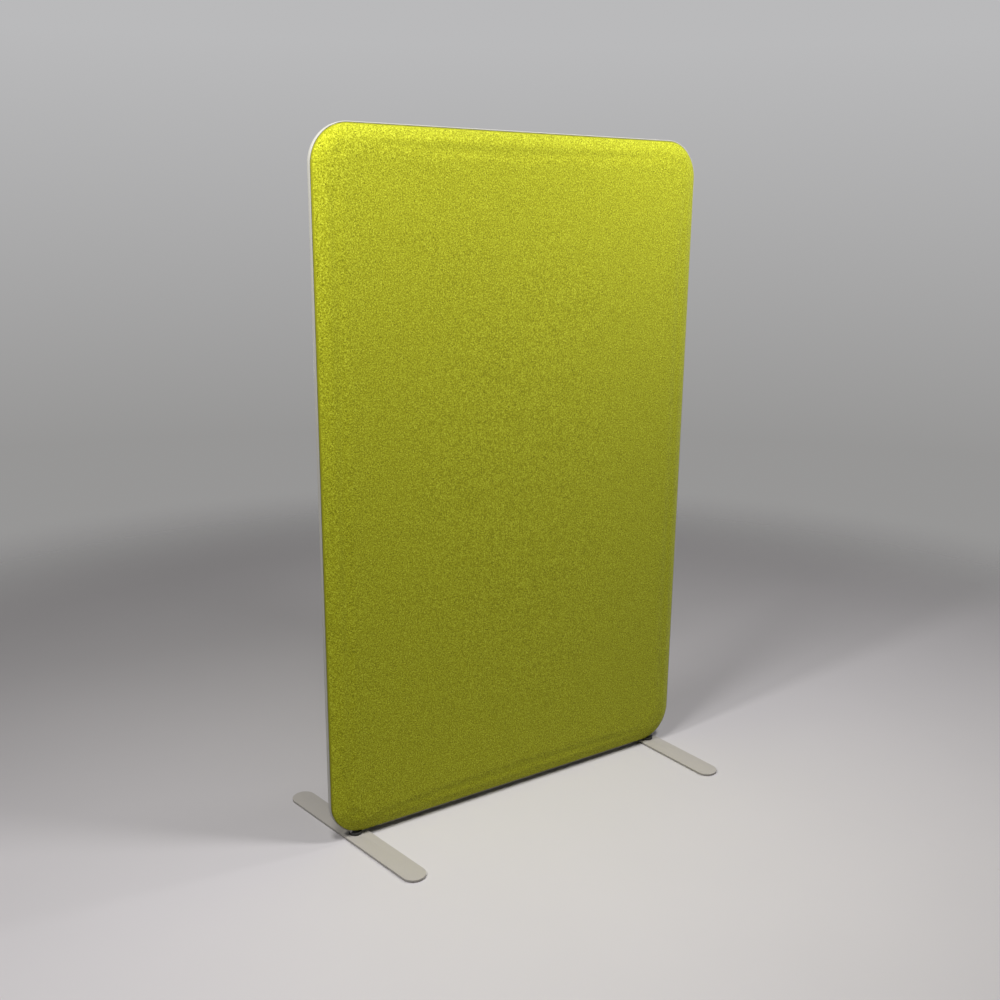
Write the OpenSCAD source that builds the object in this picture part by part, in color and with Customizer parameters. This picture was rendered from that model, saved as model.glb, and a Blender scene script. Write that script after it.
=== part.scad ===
/* [Panel] */
// Width of the panel over its edge trim
panel_w = 1000; // [700:10:1600]
// Height of the panel over its edge trim
panel_h = 1542; // [900:2:1900]
// Thickness of the panel at the middle of its two padded faces
panel_t = 50; // [46:1:70]
// Corner radius of the panel, on the outside of the trim
corner_r = 85; // [60:1:140]
// Clear height between the floor and the panel
ground_gap = 9; // [8:0.5:30]

/* [Edge trim] */
// Width of the trim's visible head
trim_w = 10; // [7:0.5:11]
// Thickness of the trim's head
trim_t = 2; // [1.5:0.1:3]
// Thickness of the stem that is pressed into the board
stem_t = 2; // [1.5:0.1:3]
// Depth of the stem behind the head
stem_l = 8; // [5:0.5:12]

/* [Centre board] */
// Thickness of the board that carries everything
board_t = 12; // [11.5:0.5:16]

/* [Pads] */
// Thickness of the fabric cover
cover_t = 1; // [0.6:0.1:1.5]
// Width of the soft rim, from the panel's edge to its flat face
rim_w = 33; // [24:1:50]
// Rise of the face from the rim to the middle of the panel
crown = 1.5; // [0.5:0.1:3]
// Thickness of the moulded absorber slab in each pad
core_t = 12; // [8:0.5:12.5]
// Width of wadding between the board's edge and the slab
core_inset = 28; // [18:1:45]
// Length of cover that is turned in over the board's edge
turn_in = 4.4; // [3.5:0.1:4.6]

/* [Feet] */
// Length of each foot over its round ends
foot_l = 480; // [360:5:600]
// Width of each foot
foot_w = 55; // [40:1:70]
// Thickness of each foot
foot_t = 5; // [4.5:0.5:6]
// Distance from the panel's side to the middle of the foot
foot_inset = 62.5; // [55:0.5:200]
// Turn of the left foot away from square, as photographed
left_foot_angle = 9.3; // [-20:0.1:20]
// Turn of the right foot away from square, as photographed
right_foot_angle = 3.9; // [-20:0.1:20]
// Diameter of each glide under a foot
glide_d = 22; // [14:1:30]
// Thickness of each glide
glide_t = 1.5; // [1:0.1:3]
// Distance from a foot's end to the middle of its outer glide
glide_inset = 30; // [22:1:60]

/* [Foot fixings] */
// Reach of the steel block from the foot screw towards the panel's middle
block_in = 55; // [50:1:90]
// Height of the steel block
block_h = 30; // [26:1:45]
// Depth of the block's seat inside the panel's edge, which is already round above the foot screw
seat_recess = 1; // [0.5:0.5:4]
// Thread diameter of the foot screw
foot_screw_d = 8; // [6:1:8]
// Length of the foot screw with its countersunk head
foot_screw_l = 35; // [31:1:38]
// Diameter of the foot screw's head
foot_head_d = 15.5; // [13:0.5:16]
// Size of the foot screw's socket across its flats
socket_w = 5; // [4:0.5:6]
// Depth of that socket
socket_depth = 2.4; // [1.5:0.1:3]
// Outside diameter of the spacer disc
spacer_d = 30; // [24:1:36]
// Shank diameter of each wood screw in the block
wood_screw_d = 5; // [4:0.5:5.5]
// Length of each wood screw
wood_screw_l = 70; // [50:1:90]
// Head diameter of each wood screw
wood_head_d = 9.5; // [8:0.5:10]
// Distance from the foot screw to the first wood screw, and on to the next
wood_screw_pitch = 22; // [21:0.5:24]
// Number of wood screws in each block
wood_screws = 2; // [1:1:2]

/* [Staples] */
// Width of each staple's crown
staple_w = 10; // [6:0.5:12]
// Thickness of the staple wire
staple_wire = 0.5; // [0.4:0.1:0.8]
// Depth of the staple's legs behind its crown
staple_leg = 7; // [5:0.5:9]
// Distance between staples along a straight edge
staple_pitch = 75; // [50:5:120]
// Number of staples round each corner
corner_staples = 3; // [1:1:4]

/* [Hidden] */
$fn = 96;

// Clearance between layers, radial clearance of a pin in its hole, and play under a turning foot
seat_gap = 0.2;
hole_gap = 0.05;
swivel_gap = 0.1;
// Overrun of a cut past the surface that it opens
cut = 1;

// Distances of each layer inwards from the outside of the trim
cover_q = trim_t + staple_wire;
board_q = cover_q + cover_t + seat_gap;
core_q = board_q + core_inset;

// Heights and places
panel_mid = ground_gap + panel_h / 2;
foot_x = panel_w / 2 - foot_inset;
foot_top = glide_t + foot_t;
block_t = board_t - 4 * seat_gap;
block_out = spacer_d / 2;
seat_rise = corner_r - sqrt(pow(corner_r, 2) - pow(max(0, corner_r - foot_inset), 2)) + seat_recess;
seat_z = ground_gap + seat_rise;
staple_y = board_t / 2 - turn_in / 2;

// Countersunk heads are cones of 90 degrees
foot_head_h = (foot_head_d - foot_screw_d) / 2;
wood_head_h = (wood_head_d - wood_screw_d) / 2;

// Soft forms: steps round a corner, rings up the rim, and rings across the crown as shares of the way in
corner_steps = 12;
rim_rings = 6;
crown_shares = [0.3, 0.65];
// Smallest corner radius of a crown ring, as a share of the panel's corner radius
inner_corner_share = 0.25;

// Place of the inner glide of each half of a foot, as a share of the outer glide's distance
inner_glide_share = 1 / 3;

// Flat outline of the panel, a distance q inside the trim
module outline(q) {
    w = panel_w - 2 * q;
    h = panel_h - 2 * q;
    r = corner_r - q;
    square([w - 2 * r, h], center = true);
    square([w, h - 2 * r], center = true);
    for (sx = [-1, 1], sz = [-1, 1])
        translate([sx * (w / 2 - r), sz * (h / 2 - r)]) circle(r = r);
}

// Plate of that outline between two depths
module plate(q, y_from, y_to) {
    translate([0, y_to, panel_mid]) rotate([90, 0, 0]) linear_extrude(y_to - y_from) outline(q);
}

// Places its children at the left (-1) or right (1) foot screw, with +X always pointing outwards
module at_foot(s) {
    mirror([s < 0 ? 1 : 0, 0, 0]) translate([foot_x, 0, 0]) children();
}

// Room of both foot blocks, larger than a block by the given gap and open below
module block_boxes(gap, half_y) {
    for (s = [-1, 1]) at_foot(s)
        translate([-block_in - gap, -half_y, ground_gap - cut])
            cube([block_in + block_out + 2 * gap, 2 * half_y, seat_rise + block_h + cut + gap]);
}

// One ring of points round the panel, q inside the trim at depth y
function ring(q, y) =
    let (r = max(corner_r - q, corner_r * inner_corner_share), w = panel_w / 2 - q - r, h = panel_h / 2 - q - r)
    [for (k = [0:3], i = [0:corner_steps])
        let (a = 90 * (k + i / corner_steps), sx = (k == 0 || k == 3) ? 1 : -1, sz = k < 2 ? 1 : -1)
        [sx * w + r * cos(a), y, panel_mid + sz * h + r * sin(a)]];

// Depth of the soft rim a share s of the way from the edge to the face: a parabola that ends level
function rim_depth(s, face) = board_t / 2 + (face - board_t / 2) * (1 - pow(1 - s, 2));

// Rings from the middle of a pad's face out to its edge, for a face that lies at depth face
function pad_rings(edge_q, face) =
    let (flat_q = edge_q + rim_w, half_w = panel_w / 2 - flat_q)
    concat(
        [for (i = [len(crown_shares) - 1:-1:0]) let (s = crown_shares[i])
            ring(flat_q + s * half_w, face + crown * (1 - pow(1 - s, 2)))],
        [for (i = [rim_rings:-1:0]) let (s = i / rim_rings)
            ring(edge_q + s * rim_w, rim_depth(s, face))]
    );

// Closed solid through a list of rings, with a point that closes each end
module loft(rings, first_y, last_y) {
    n = len(rings[0]);
    m = len(rings);
    points = concat([for (one = rings) each one], [[0, first_y, panel_mid], [0, last_y, panel_mid]]);
    sides = [for (j = [0:m - 2], i = [0:n - 1])
        each [
            [j * n + i, j * n + (i + 1) % n, (j + 1) * n + (i + 1) % n],
            [j * n + i, (j + 1) * n + (i + 1) % n, (j + 1) * n + i]
        ]];
    first_cap = [for (i = [0:n - 1]) [m * n, (i + 1) % n, i]];
    last_cap = [for (i = [0:n - 1]) [m * n + 1, (m - 1) * n + i, (m - 1) * n + (i + 1) % n]];
    polyhedron(points, concat(sides, first_cap, last_cap));
}

// Fabric cover of the back pad: outer skin, the turned-in edge, then the inner skin
module cover() {
    face = panel_t / 2 - crown;
    inner_face = face - cover_t;
    outer = pad_rings(cover_q, face);
    inner = pad_rings(cover_q + cover_t, inner_face);
    turned_y = board_t / 2 - turn_in;
    rings = concat(
        outer,
        [ring(cover_q, turned_y), ring(cover_q + cover_t, turned_y)],
        [for (i = [len(inner) - 1:-1:0]) inner[i]]
    );
    difference() {
        loft(rings, face + crown, inner_face + crown);
        block_boxes(seat_gap, board_t / 2 - seat_gap);
    }
}

// Wadding of the back pad: the pillow form with a pocket for the absorber slab
module wadding() {
    face = panel_t / 2 - crown - cover_t - seat_gap;
    pocket_y = board_t / 2 + core_t + seat_gap;
    rings = concat(pad_rings(board_q, face), [ring(core_q, board_t / 2), ring(core_q, pocket_y)]);
    loft(rings, face + crown, pocket_y);
}

module core() {
    plate(core_q + 2 * seat_gap, board_t / 2, board_t / 2 + core_t);
}

// Board in three layers, the middle one set back to leave the groove for the trim's stem
module centre_board() {
    groove_t = stem_t + 2 * hole_gap;
    color("burlywood") difference() {
        union() {
            plate(board_q, -board_t / 2, -groove_t / 2);
            plate(trim_t + stem_l + seat_gap, -groove_t / 2, groove_t / 2);
            plate(board_q, groove_t / 2, board_t / 2);
        }
        block_boxes(seat_gap, board_t);
        for (s = [-1, 1], t = [1:wood_screws]) at_foot(s)
            translate([-t * wood_screw_pitch, 0, seat_z])
                cylinder(d = wood_screw_d + 2 * hole_gap, h = wood_screw_l + seat_gap);
    }
}

module trim_ring() {
    difference() {
        union() {
            difference() {
                plate(0, -trim_w / 2, trim_w / 2);
                plate(trim_t, -trim_w / 2 - cut, trim_w / 2 + cut);
            }
            difference() {
                plate(trim_t - hole_gap, -stem_t / 2, stem_t / 2);
                plate(trim_t + stem_l, -stem_t / 2 - cut, stem_t / 2 + cut);
            }
        }
        block_boxes(seat_gap, trim_w);
    }
}

// Room between the two blocks, where the short length of trim lies
module between_blocks() {
    translate([-foot_x, -trim_w, ground_gap - cut]) cube([2 * foot_x, 2 * trim_w, corner_r]);
}

module edge_trim() {
    color("gainsboro") difference() {
        trim_ring();
        between_blocks();
    }
}

module bottom_trim() {
    color("gainsboro") intersection() {
        trim_ring();
        between_blocks();
    }
}

// Staple with its crown's outer face at the origin and its legs downwards
module staple() {
    translate([-staple_w / 2, -staple_wire / 2, -staple_wire]) cube([staple_w, staple_wire, staple_wire]);
    for (s = [0, 1])
        translate([s * (staple_w - staple_wire) - staple_w / 2, -staple_wire / 2, -staple_leg])
            cube([staple_wire, staple_wire, staple_leg]);
}

// Whether a staple at x on the lower edge is clear of the foot block there
function clear_of_block(x) =
    let (reach = staple_w / 2 + seat_gap)
    abs(x) < foot_x - block_in - reach || abs(x) > foot_x + block_out + reach;

// Staples on the four straight edges and round the four corners of the back cover
module staples() {
    q = trim_t + seat_gap;
    half_w = panel_w / 2 - corner_r;
    half_h = panel_h / 2 - corner_r;
    rows = floor(2 * half_w / staple_pitch);
    columns = floor(2 * half_h / staple_pitch);
    for (i = [0:rows - 1]) {
        x = (i - (rows - 1) / 2) * staple_pitch;
        translate([x, staple_y, panel_mid + panel_h / 2 - q]) staple();
        if (clear_of_block(x))
            translate([x, staple_y, ground_gap + q]) rotate([0, 180, 0]) staple();
    }
    for (i = [0:columns - 1], s = [-1, 1])
        translate([s * (panel_w / 2 - q), staple_y, panel_mid + (i - (columns - 1) / 2) * staple_pitch])
            rotate([0, s * 90, 0]) staple();
    for (k = [0:3], i = [0:corner_staples - 1]) {
        a = 90 * (k + (i + 1) / (corner_staples + 1));
        sx = (k == 0 || k == 3) ? 1 : -1;
        sz = k < 2 ? 1 : -1;
        x = sx * half_w + (corner_r - q) * cos(a);
        if (sz > 0 || clear_of_block(x))
            translate([x, staple_y, panel_mid + sz * half_h + (corner_r - q) * sin(a)])
                rotate([0, 90 - a, 0]) staple();
    }
}

// Solid of a countersunk screw with its head's face at the origin and its shank upwards
module countersunk(d, head_d, head_h, l) {
    cylinder(d1 = head_d, d2 = d, h = head_h);
    cylinder(d = d, h = l);
}

module foot_block(s) {
    bore_d = foot_screw_d + 2 * hole_gap;
    color("dimgray") at_foot(s) difference() {
        translate([-block_in, -block_t / 2, seat_z]) cube([block_in + block_out, block_t, block_h]);
        translate([0, 0, glide_t]) cylinder(d = bore_d, h = foot_screw_l + seat_gap);
        for (t = [1:wood_screws]) translate([-t * wood_screw_pitch, 0, seat_z + seat_gap]) {
            countersunk(wood_screw_d + 2 * hole_gap, wood_head_d + 2 * hole_gap, wood_head_h, block_h);
            translate([0, 0, -cut]) cylinder(d = wood_head_d + 2 * hole_gap, h = cut);
        }
    }
}

module block_screws() {
    color("goldenrod") for (s = [-1, 1], t = [1:wood_screws]) at_foot(s)
        translate([-t * wood_screw_pitch, 0, seat_z + seat_gap]) difference() {
            countersunk(wood_screw_d, wood_head_d, wood_head_h, wood_screw_l - seat_gap);
            translate([0, 0, -cut]) cylinder(d = wood_screw_d / 2, h = cut + wood_head_h / 2, $fn = 6);
        }
}

module spacer(s) {
    height = seat_z - foot_top - swivel_gap;
    color("black") at_foot(s) translate([0, 0, foot_top + swivel_gap]) difference() {
        cylinder(d = spacer_d, h = height);
        translate([0, 0, -cut]) cylinder(d = foot_screw_d + 2 * hole_gap, h = height + 2 * cut);
    }
}

module foot_screw(s) {
    color("silver") at_foot(s) translate([0, 0, glide_t + seat_gap]) difference() {
        countersunk(foot_screw_d, foot_head_d, foot_head_h, foot_screw_l - seat_gap);
        translate([0, 0, -cut]) cylinder(d = socket_w / cos(30), h = cut + socket_depth, $fn = 6);
    }
}

// Flat bar with round ends, turned about its screw, with a countersunk bore through its middle
module foot(s, angle) {
    head_d = foot_head_d + 4 * seat_gap;
    bore_d = foot_screw_d + 2 * hole_gap;
    color("lightgray") translate([s * foot_x, 0, glide_t]) rotate([0, 0, angle]) difference() {
        linear_extrude(foot_t) {
            square([foot_w, foot_l - foot_w], center = true);
            for (e = [-1, 1]) translate([0, e * (foot_l - foot_w) / 2]) circle(d = foot_w);
        }
        cylinder(d1 = head_d, d2 = bore_d, h = (head_d - bore_d) / 2);
        translate([0, 0, -cut]) cylinder(d = head_d, h = cut);
        translate([0, 0, -cut]) cylinder(d = bore_d, h = foot_t + 2 * cut);
    }
}

module glides(s, angle) {
    color("darkslategray") translate([s * foot_x, 0, 0]) rotate([0, 0, angle])
        for (e = [-1, 1], share = [1, inner_glide_share])
            translate([0, e * share * (foot_l / 2 - glide_inset), 0]) cylinder(d = glide_d, h = glide_t);
}

module front() { mirror([0, 1, 0]) children(); }
module back_core() { color("lightsteelblue") core(); }
module front_core() { front() back_core(); }
module back_wadding() { color("white") wadding(); }
module front_wadding() { front() back_wadding(); }
module back_cover() { color("yellowgreen") cover(); }
module front_cover() { front() back_cover(); }
module back_staples() { color("silver") staples(); }
module front_staples() { front() back_staples(); }

centre_board();
front_core();
back_core();
front_wadding();
back_wadding();
front_cover();
back_cover();
edge_trim();
bottom_trim();
front_staples();
back_staples();
foot_block(-1);  // left_foot_block
foot_block(1);  // right_foot_block
block_screws();
spacer(-1);  // left_spacer
spacer(1);  // right_spacer
foot_screw(-1);  // left_foot_screw
foot_screw(1);  // right_foot_screw
foot(-1, left_foot_angle);  // left_foot
foot(1, right_foot_angle);  // right_foot
glides(-1, left_foot_angle);  // left_glides
glides(1, right_foot_angle);  // right_glides
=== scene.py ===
"""Acoustic divider screen: a fabric-covered absorber panel that stands on two flat bar feet."""

import math

import bmesh
import bpy
import numpy as np
from mathutils import Matrix, Vector, noise


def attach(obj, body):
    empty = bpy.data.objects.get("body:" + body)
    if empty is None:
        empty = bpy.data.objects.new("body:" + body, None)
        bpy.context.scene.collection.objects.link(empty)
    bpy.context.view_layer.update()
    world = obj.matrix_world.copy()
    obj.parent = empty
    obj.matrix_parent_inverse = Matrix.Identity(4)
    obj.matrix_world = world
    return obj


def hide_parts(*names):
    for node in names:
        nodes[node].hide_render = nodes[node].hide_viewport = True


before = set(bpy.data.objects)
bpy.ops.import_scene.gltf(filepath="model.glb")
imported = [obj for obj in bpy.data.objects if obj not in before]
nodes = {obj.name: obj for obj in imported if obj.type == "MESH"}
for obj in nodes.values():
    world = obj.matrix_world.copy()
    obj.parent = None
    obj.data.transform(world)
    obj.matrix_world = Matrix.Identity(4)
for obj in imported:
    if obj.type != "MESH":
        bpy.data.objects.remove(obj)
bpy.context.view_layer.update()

# Centre board. One sheet of raw 12 mm fibre board, sawn to the panel's outline with round corners.
# A groove round its edge takes the trim's stem, and two notches in the lower edge take the foot blocks.
# It is the CAD solid itself: its faces are planed, and its sawn edge is a little darker.
BOARD_THICKNESS = 0.012
BOARD_DARK = (0.30, 0.19, 0.105, 1)
BOARD_LIGHT = (0.56, 0.41, 0.26, 1)
BOARD_SAWN = (0.16, 0.10, 0.055, 1)
BOARD_SAWN_SHARE = 0.45
BOARD_FIBRES_PER_METRE = 850.0
BOARD_RELIEF = 0.00015
FLECK_CLOUD_SCALE, FLECK_CLOUD_SHARE = 0.04, 0.25


def fill_inputs(tree, made, inputs):
    """Joins each input of a shader node to a socket, or sets it to a value."""
    for key, value in inputs.items():
        if isinstance(value, bpy.types.NodeSocket):
            tree.links.new(value, made.inputs[key])
        else:
            made.inputs[key].default_value = value
    return made


def add(tree, kind, inputs=None, **settings):
    """A shader node with its settings and inputs."""
    made = tree.nodes.new("ShaderNode" + kind)
    for key, value in settings.items():
        setattr(made, key, value)
    return fill_inputs(tree, made, inputs or {})


def calc(tree, operation, first, second=0.0):
    """The socket of one sum on two numbers."""
    return add(tree, "Math", {0: first, 1: second}, operation=operation).outputs[0]


def weigh(tree, first, first_share, second, second_share):
    """The socket of two numbers, each times its share, added up."""
    first_part = calc(tree, "MULTIPLY", first, first_share)
    return calc(tree, "ADD", first_part, calc(tree, "MULTIPLY", second, second_share))


def ramp(tree, value, low, high, to_low=0.0, to_high=1.0):
    """The socket of a value stretched from one range to another, and held inside it."""
    limits = {"Value": value, "From Min": low, "From Max": high, "To Min": to_low, "To Max": to_high}
    return add(tree, "MapRange", limits, clamp=True).outputs["Result"]


def tint(tree, share, first, second):
    """The socket of two colours mixed by a share."""
    return add(tree, "Mix", {0: share, 6: first, 7: second}, data_type="RGBA").outputs[2]


def speckle(tree, place, per_metre, detail=2.0, roughness=0.5):
    """The socket of a noise with so many grains to the metre."""
    values = {"Vector": place, "Scale": per_metre, "Detail": detail, "Roughness": roughness}
    return add(tree, "TexNoise", values).outputs["Fac"]


def new_group(name, inputs):
    """An empty node group that puts out a colour, a height and a roughness, and its end nodes' sockets."""
    kinds = {"colour": "NodeSocketColor", "number": "NodeSocketFloat", "vector": "NodeSocketVector"}
    group = bpy.data.node_groups.new(name, "ShaderNodeTree")
    for label, kind, value in inputs:
        socket = group.interface.new_socket(name=label, in_out="INPUT", socket_type=kinds[kind])
        socket.default_value = value
    for label, kind in (("Color", "colour"), ("Height", "number"), ("Roughness", "number")):
        group.interface.new_socket(name=label, in_out="OUTPUT", socket_type=kinds[kind])
    return group, group.nodes.new("NodeGroupInput").outputs, group.nodes.new("NodeGroupOutput").inputs


def close_group(group, made, colour, height, roughness):
    """Joins what a node group has worked out to its outputs."""
    for label, value in (("Color", colour), ("Height", height), ("Roughness", roughness)):
        group.links.new(value, made[label])


def stretched_place(group, given):
    """The socket of the object's own coordinates, stretched by the group's input."""
    place = add(group, "TexCoord").outputs["Object"]
    return add(group, "VectorMath", {0: place, 1: given["Stretch"]}, operation="MULTIPLY").outputs[0]


def place_group(tree, group, inputs):
    """The outputs of a node group placed in a material with its own values."""
    made = tree.nodes.new("ShaderNodeGroup")
    made.node_tree = group
    return fill_inputs(tree, made, inputs).outputs


def new_material(name, **values):
    """A material, its node tree and its main shader, with plain values set on the shader's own sockets."""
    material = bpy.data.materials.new(name)
    material.use_nodes = True
    shader = material.node_tree.nodes["Principled BSDF"]
    for key, value in values.items():
        shader.inputs[key.replace("_", " ")].default_value = value
    return material, material.node_tree, shader


def finish_surface(tree, shader, look, depth, colour=None):
    """Joins a look's colour, or another one, its roughness and its relief to a surface's shader."""
    tree.links.new(look["Color"] if colour is None else colour, shader.inputs["Base Color"])
    tree.links.new(look["Roughness"], shader.inputs["Roughness"])
    relief = add(tree, "Bump", {"Height": look["Height"], "Distance": depth, "Strength": 1.0})
    tree.links.new(relief.outputs["Normal"], shader.inputs["Normal"])


def dress_node(name, material):
    """Gives a CAD node, whose mesh stays as it is, a material."""
    for place in nodes[name].material_slots:
        place.material = material


flecks, given, made = new_group(
    "fibre_flecks",
    [
        ("Dark", "colour", (0.2, 0.2, 0.2, 1)),
        ("Light", "colour", (0.8, 0.8, 0.8, 1)),
        ("Per Metre", "number", 900.0),
        ("Stretch", "vector", (1, 1, 1)),
    ],
)
stretched = stretched_place(flecks, given)
fine = speckle(flecks, stretched, given["Per Metre"], 3.0, 0.65)
cloudy = speckle(flecks, stretched, calc(flecks, "MULTIPLY", given["Per Metre"], FLECK_CLOUD_SCALE), 2.0)
share = ramp(flecks, weigh(flecks, fine, 1 - FLECK_CLOUD_SHARE, cloudy, FLECK_CLOUD_SHARE), 0.33, 0.67)
fleck_colour = tint(flecks, share, given["Dark"], given["Light"])
close_group(flecks, made, fleck_colour, fine, ramp(flecks, fine, 0.3, 0.7, 0.94, 0.78))

board_finish, tree, shader = new_material("board", Specular_IOR_Level=0.3)
fibre = {"Dark": BOARD_DARK, "Light": BOARD_LIGHT, "Per Metre": BOARD_FIBRES_PER_METRE}
board = place_group(tree, flecks, fibre)
facing = add(tree, "SeparateXYZ", {0: add(tree, "TexCoord").outputs["Normal"]}).outputs["Y"]
sawn = ramp(tree, calc(tree, "ABSOLUTE", facing), 0.2, 0.8, BOARD_SAWN_SHARE, 0.0)
finish_surface(tree, shader, board, BOARD_RELIEF, tint(tree, sawn, board["Color"], BOARD_SAWN))
dress_node("centre_board", board_finish)

# Absorber slabs. One slab of pressed grey felt, 12 mm thick, lies on each face of the board and is
# held by a few spots of glue. It stays 32 mm inside the outline, and its cut edges are slightly rounded.
# Each replaces a plain CAD slab.
PANEL_WIDTH = 1.0
PANEL_HEIGHT = 1.542
GROUND_GAP = 0.009
CORNER = 0.085
PANEL_MIDDLE = GROUND_GAP + PANEL_HEIGHT / 2
SLAB_EDGE = 0.0321
SLAB_THICKNESS = 0.012
SLAB_ROUNDING = 0.0015
SLAB_SPACING = 0.022
SLAB_LINES = (0.0, 0.0004, 0.001, 0.0015, 0.006, 0.014, 0.026, 0.039)
SLAB_UNEVEN = 0.00015
SLAB_HILLS = 0.05
SLAB_UNEVEN_FROM = 0.02
LEAST_STEP = 0.002
FELT_FIBRES_PER_METRE = 700.0
FELT_RELIEF = 0.0004
FELT_DARK = (0.17, 0.18, 0.19, 1)
FELT_LIGHT = (0.42, 0.44, 0.45, 1)
FRONT, BACK = -1, 1
SAME_PLACE = 1e-6


def pad_grid(edge, lines, spacing):
    """Points of one skin of a pad that starts a distance edge inside the panel's outline, on a grid.
    Lines are distances from the skin's edge to the grid lines of the corner squares. Each corner square
    is pressed round into a quarter disc. Gives x, z and each point's own distance to the skin's edge."""
    half_w, half_h, radius = PANEL_WIDTH / 2 - edge, PANEL_HEIGHT / 2 - edge, CORNER - edge
    near = np.append([d for d in lines if d < radius - LEAST_STEP], radius)

    def cuts(half):
        inner = np.linspace(radius - half, half - radius, round(2 * (half - radius) / spacing) + 1)[1:-1]
        return np.concatenate([near - half, inner, (half - near)[::-1]])

    x, z = np.meshgrid(cuts(half_w), cuts(half_h), indexing="ij")
    in_x, in_z = half_w - abs(x), half_h - abs(z)
    s, t = np.clip(1 - in_x / radius, 0, 1), np.clip(1 - in_z / radius, 0, 1)
    u, v = s * np.sqrt(1 - t * t / 2), t * np.sqrt(1 - s * s / 2)
    cornered = (in_x < radius) & (in_z < radius)
    x = np.where(cornered, np.sign(x) * (half_w - radius + u * radius), x)
    z = np.where(cornered, np.sign(z) * (half_h - radius + v * radius), z)
    inset = np.where(cornered, radius * (1 - np.hypot(u, v)), np.minimum(in_x, in_z))
    return x, z + PANEL_MIDDLE, np.maximum(inset, 0)


def grid_faces(count_x, count_z, first=0):
    """Four-sided faces of a grid of points that are numbered from first."""
    i, j = np.meshgrid(np.arange(count_x - 1), np.arange(count_z - 1), indexing="ij")
    a = first + i * count_z + j
    return np.stack([k.ravel() for k in (a, a + count_z, a + count_z + 1, a + 1)], 1).tolist()


def two_skins(x, z, side, depths):
    """Points and faces of a pad's outer and inner skin on one grid."""
    points = np.concatenate([np.stack([x, side * depth, z], -1).reshape(-1, 3) for depth in depths])
    return points, grid_faces(*x.shape) + grid_faces(*x.shape, first=x.size)


def grid_edge(count_x, count_z, first=0):
    """Numbers of the points round a grid's edge, in order."""
    low = [i * count_z for i in range(count_x)]
    right = [(count_x - 1) * count_z + j for j in range(1, count_z)]
    high = [i * count_z + count_z - 1 for i in range(count_x - 2, -1, -1)]
    left = list(range(count_z - 2, 0, -1))
    return [first + k for k in low + right + high + left]


def band(one, other):
    """Faces between two closed rows of points."""
    n = len(one)
    return [(one[k], one[(k + 1) % n], other[(k + 1) % n], other[k]) for k in range(n)]


def unevenness(x, z, size, seed):
    """Soft hills and hollows between -1 and 1, about size across, the same at each run."""
    hills = [noise.noise(Vector((a / size, b / size, seed))) for a, b in zip(x.ravel(), z.ravel())]
    return np.array(hills).reshape(x.shape)


def finish_piece(name, mesh, material, body, replaced, sharp):
    """The object of a finished mesh, with its finish, body, slot and the CAD nodes it stands for."""
    mesh.shade_smooth()
    mesh.set_sharp_from_angle(angle=math.radians(sharp))
    mesh.materials.append(material)
    piece = bpy.data.objects.new(name, mesh)
    bpy.context.scene.collection.objects.link(piece)
    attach(piece, body)
    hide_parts(*replaced)
    return piece


def new_piece(name, points, faces, material, body, replaced, sharp=40, weld=False):
    """A piece of the object made from points and faces, with its faces turned outwards."""
    mesh = bpy.data.meshes.new(name)
    mesh.from_pydata([tuple(p) for p in points], [], faces)
    bm = bmesh.new()
    bm.from_mesh(mesh)
    if weld:
        bmesh.ops.remove_doubles(bm, verts=bm.verts, dist=SAME_PLACE)
    bmesh.ops.recalc_face_normals(bm, faces=bm.faces)
    bm.to_mesh(mesh)
    bm.free()
    return finish_piece(name, mesh, material, body, replaced, sharp)


felt_finish, tree, shader = new_material("core_felt", Specular_IOR_Level=0.1, Sheen_Weight=0.2)
fibre = {"Dark": FELT_DARK, "Light": FELT_LIGHT, "Per Metre": FELT_FIBRES_PER_METRE}
felt = place_group(tree, flecks, fibre)
finish_surface(tree, shader, felt, FELT_RELIEF)

slabs = ((FRONT, "front_absorber_slab", "front_core"), (BACK, "back_absorber_slab", "back_core"))
for side, name, node in slabs:
    x, z, inset = pad_grid(SLAB_EDGE, SLAB_LINES, SLAB_SPACING)
    from_edge = np.clip(SLAB_ROUNDING - inset, 0, None)
    rounding = SLAB_ROUNDING - np.sqrt(np.maximum(SLAB_ROUNDING**2 - from_edge**2, 0))
    hills = SLAB_UNEVEN * np.clip(inset / SLAB_UNEVEN_FROM, 0, 1) * (unevenness(x, z, SLAB_HILLS, side) - 1)
    outer = BOARD_THICKNESS / 2 + SLAB_THICKNESS - rounding + hills
    inner = BOARD_THICKNESS / 2 + rounding
    points, faces = two_skins(x, z, side, (outer, inner))
    faces += band(grid_edge(*x.shape), grid_edge(*x.shape, first=x.size))
    slab = new_piece(name, points, faces, felt_finish, "panel", [node])

# Wadding. White polyester fleece is laid over each slab and wraps its edge down to the board, which
# gives the panel its soft rim. It is lightly sprayed with glue and otherwise held by the tight cover.
# Each piece replaces the CAD form of the same outline, with a pocket where the slab lies.
FLEECE_EDGE = 0.0037
FLEECE_RIM = 0.033
RIM_POWER = 1.6
FLEECE_FACE = 0.0205
FLEECE_CROWN = 0.0015
FLEECE_SPACING = 0.022
POCKET_INSET = 0.028
POCKET_CLEARANCE = 0.0002
POCKET_DEPTH = BOARD_THICKNESS / 2 + SLAB_THICKNESS + POCKET_CLEARANCE
POCKET_WALL = 0.0001
FLEECE_LINES = (0.0, 0.003, 0.007, 0.012, 0.018, 0.0235, POCKET_INSET - POCKET_WALL, POCKET_INSET + POCKET_WALL,
                0.034, 0.042, 0.051, 0.061, 0.071)
FLEECE_UNEVEN = 0.0002
FLEECE_HILLS = 0.03
FLEECE_UNEVEN_FROM = 0.01
FLEECE_SEED = 5
FLEECE_FIBRES_PER_METRE = 320.0
FLEECE_RELIEF = 0.0015
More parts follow.
